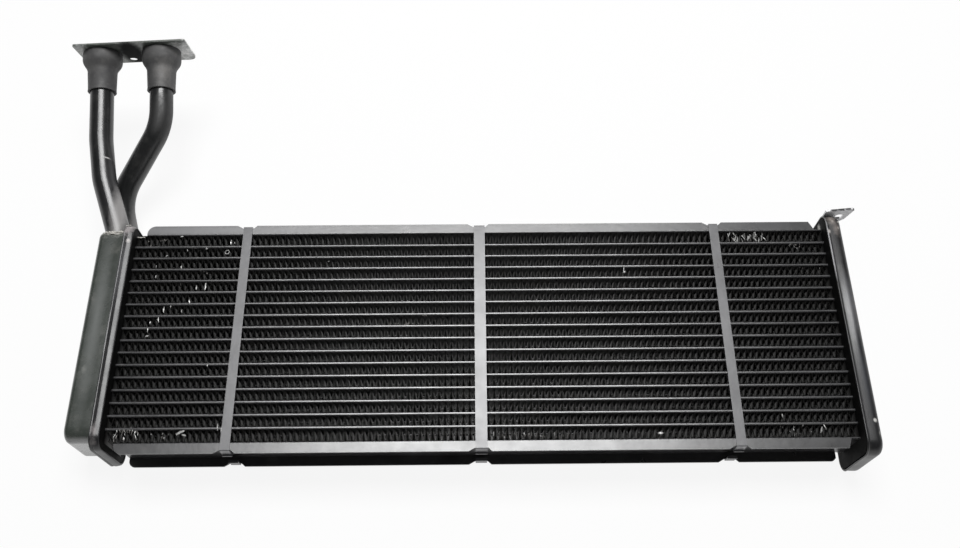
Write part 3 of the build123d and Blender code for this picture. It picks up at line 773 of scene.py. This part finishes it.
# Clusters: x, y, spread in x and y, count, length, width, angle, turn to each side, share of bright ones
CLUSTERS = (
    (-260, -79, 12, 4.0, 22, 4.2, 0.6, UPRIGHT, 0.5, 0.35),
    (-236, -80, 9, 3.0, 7, 2.5, 0.5, UPRIGHT, 0.8, 0.5),
    (214.5, 80, 15, 3.4, 34, 4.2, 0.8, UPRIGHT, 0.7, 0.85),
    (252, 72, 9, 2.5, 9, 2.6, 0.6, UPRIGHT, 0.9, 0.6),
    (262, 52, 9, 3.0, 4, 1.4, 0.5, UPRIGHT, 1.0, 0.2),
    (-258, 79, 9, 3.0, 8, 2.6, 0.5, UPRIGHT, 0.7, 0.15),
    (-225, 74, 7.5, 1.0, 6, 4.0, 0.4, 0.0, 0.4, 0.2),
    (-232, 50, 21, 10, 8, 2.0, 0.4, UPRIGHT, 0.6, 0.1),
    (-52, 6, 25.5, 1.8, 26, 2.0, 0.45, UPRIGHT, 0.4, 0.1),
    (-45, 15, 4.5, 2.0, 8, 1.8, 0.4, UPRIGHT, 0.4, 0.0),
    (40, -82.5, 27, 1.5, 34, 3.0, 0.45, UPRIGHT, 0.5, 0.2),
    (230, -80, 12, 4, 16, 1.6, 0.5, UPRIGHT, 1.0, 0.4),
    (190, 30, 90, 40, 10, 1.2, 0.4, UPRIGHT, 0.8, 0.0),
    (-150, -20, 120, 50, 10, 1.2, 0.4, UPRIGHT, 0.8, 0.0))
CLUSTER_LEFT_X, CLUSTER_Y = -268, 84.6


def scrap(verts, faces, rng, x, y, length, width, angle, lift):
    """Torn, curled strip of fin foil that stands a little out of the fins."""
    ahead = Vector((math.cos(angle), math.sin(angle), 0))
    side = Vector((-ahead.y, ahead.x, 0))
    start = len(verts)
    curl = rng.uniform(-0.6, 0.6)
    for i in range(SCRAP_PARTS + 1):
        t = i / SCRAP_PARTS
        twist = side * math.cos(curl * t) + Vector((0, 0, 1)) * math.sin(curl * t + 0.25)
        place = Vector((x, y, SCRAP_Z)) + ahead * length * (t - 0.5) + side * rng.uniform(-0.15, 0.15)
        place.z += lift * math.sin(math.pi * (0.15 + 0.7 * t))
        half = width / 2 * (1 - 0.5 * abs(2 * t - 1)) * rng.uniform(0.7, 1.2)
        verts.extend((place + twist * half, place - twist * half))
    for i in range(SCRAP_PARTS):
        k = start + 2 * i
        faces.append((k, k + 1, k + 3, k + 2))


def foil_scraps():
    """Bent and torn fin foil where the fins have been knocked."""
    rng = random.Random(31)
    verts, faces = [], []
    for x, y, length, width, angle in SINGLE_SCRAPS:
        scrap(verts, faces, rng, x, y, length * SINGLE_LENGTH, width * SINGLE_WIDTH, angle, 1.0)
    for k in range(CURL_PARTS):
        a = 2 * math.pi * k / CURL_PARTS
        scrap(verts, faces, rng, CURL_X + CURL_R * math.cos(a), CURL_Y + CURL_R * math.sin(a),
              CURL_LENGTH, CURL_WIDTH, a + UPRIGHT, 1.0)
    material_of = [0] * len(faces)
    for x, y, spread_x, spread_y, count, length, width, angle, turn, bright in CLUSTERS:
        for _ in range(count):
            px = max(CLUSTER_LEFT_X, x + rng.uniform(-spread_x, spread_x))
            py = min(CLUSTER_Y, max(-CLUSTER_Y, y + rng.uniform(-spread_y, spread_y)))
            scrap(verts, faces, rng, px, py, length * rng.uniform(0.4, 1.2), width * rng.uniform(0.4, 1.1),
                  angle + rng.uniform(-turn, turn), 0.8)
            dull = 0 if rng.random() < bright else 1
            material_of += [dull] * SCRAP_PARTS
    add_piece("bent_foil_scraps", verts, faces, (FOIL, DULL_FOIL), (), 60, material_of)


# Materials of the CAD pieces that stay as they are

SLOTS = {"fin_black": FIN, "tube_black": TUBE_BLACK, "frame_black": FRAME_BLACK, "strap_coat": STRAP,
         "tank_black": TANK, "pipe_black": PIPE, "plate_black": PLATE, "bracket_coat": BRACKET,
         "seal_rubber": RUBBER, "bare_sheet": SHEET}


def dress_cad_pieces():
    slot_of = {row["node"]: row["material_slot"] for row in frame["record"]["subparts"]}
    for node, piece in frame["nodes"].items():
        material = SLOTS[slot_of[node]]
        # the side plates take the lighter copy: painted fill light
        if node.startswith("side_plate"):
            material = SIDE_BLACK_LIFTED
        # the right header's inner face takes the darker copy: painted shade
        if node == "header_plate_right":
            material = INNER_SHADE_BLACK
        for place in piece.material_slots:
            place.material = material


# Stage, light and camera

def floor():
    """White ground that glows to the camera and keeps a faint shadow."""
    mesh = bpy.data.meshes.new("floor")
    corners = [(x * FLOOR_HALF, y * FLOOR_HALF, FLOOR_Z) for x, y in ((-1, -1), (1, -1), (1, 1), (-1, 1))]
    mesh.from_pydata(corners, [], [(0, 1, 2, 3)])
    piece = bpy.data.objects.new("floor", mesh)
    bpy.context.collection.objects.link(piece)
    material, tree, shader = new_material("floor")
    shader.inputs["Base Color"].default_value = (0.86, 0.86, 0.86, 1)
    shader.inputs["Roughness"].default_value = 0.7
    shader.inputs["Specular IOR Level"].default_value = 0.1
    path = tree.nodes.new("ShaderNodeLightPath")
    glow = tree.nodes.new("ShaderNodeEmission")
    glow.inputs["Color"].default_value = (1, 1, 1, 1)
    blend = tree.nodes.new("ShaderNodeMixShader")
    seen = math_node(tree, "MAXIMUM", path.outputs["Is Camera Ray"], path.outputs["Is Glossy Ray"])
    tree.links.new(math_node(tree, "MULTIPLY", seen, 0.9), blend.inputs[0])
    tree.links.new(shader.outputs[0], blend.inputs[1])
    tree.links.new(glow.outputs[0], blend.inputs[2])
    out = next(n for n in tree.nodes if n.bl_idname == "ShaderNodeOutputMaterial")
    tree.links.new(blend.outputs[0], out.inputs[0])
    mesh.materials.append(material)


def softbox(name, place, target, width, height, watts):
    data = bpy.data.lights.new(name, "AREA")
    data.shape = "RECTANGLE"
    data.size, data.size_y = width, height
    data.energy = watts
    lamp = bpy.data.objects.new(name, data)
    lamp.location = place
    lamp.rotation_mode = "QUATERNION"
    lamp.rotation_quaternion = (target - place).to_track_quat("-Z", "Y")
    bpy.context.collection.objects.link(lamp)


def surroundings():
    """Bright band round the horizon, brighter on the right, and a dim ceiling; white to the camera."""
    world = bpy.data.worlds.new("world")
    bpy.context.scene.world = world
    world.use_nodes = True
    tree = world.node_tree
    background = tree.nodes["Background"]
    coords = tree.nodes.new("ShaderNodeTexCoord")
    axes = tree.nodes.new("ShaderNodeSeparateXYZ")
    tree.links.new(coords.outputs["Generated"], axes.inputs[0])
    height = ramp(tree, axes.outputs["Z"], [(0.0, 1.0), (0.12, 0.85), (0.38, 0.14), (1.0, 0.12)])
    across = math_node(tree, "MULTIPLY_ADD", axes.outputs["X"], 0.3, 0.7)
    level = mix(tree, 1.0, height, across, "MULTIPLY")
    path = tree.nodes.new("ShaderNodeLightPath")
    colour = mix(tree, path.outputs["Is Camera Ray"], level, grey(1.0))
    tree.links.new(colour, background.inputs["Color"])
    background.inputs["Strength"].default_value = 1.0


def camera():
    """Pinhole camera where the photo's own camera stood."""
    data = bpy.data.cameras.new("camera")
    data.sensor_width = SENSOR
    data.lens = FOCAL_PIXELS / PHOTO_WIDTH * SENSOR
    data.clip_start, data.clip_end = 0.05, 20
    piece = bpy.data.objects.new("camera", data)
    bpy.context.collection.objects.link(piece)
    ahead = CAMERA_AHEAD.normalized()
    up = CAMERA_RIGHT.normalized().cross(ahead).normalized()
    right = ahead.cross(up).normalized()
    turn = Matrix((right, up, -ahead)).transposed().to_4x4()
    piece.matrix_world = Matrix.Translation(at(*CAMERA_AT)) @ turn
    bpy.context.scene.camera = piece


fin_rows()
cups()
rims()
ring_of_braze("braze_front_pipe", PIPE_FRONT_Z, seed=3)
ring_of_braze("braze_rear_pipe", PIPE_REAR_Z, seed=4)
braze_runs()
foil_scraps()
dress_cad_pieces()
floor()
core = at(0, 0, 0)
softbox("key", core + KEY_AT, core + KEY_TOWARD, KEY_WIDTH, KEY_HEIGHT, KEY_WATTS)
surroundings()
camera()
bpy.context.scene.view_settings.view_transform = "Standard"
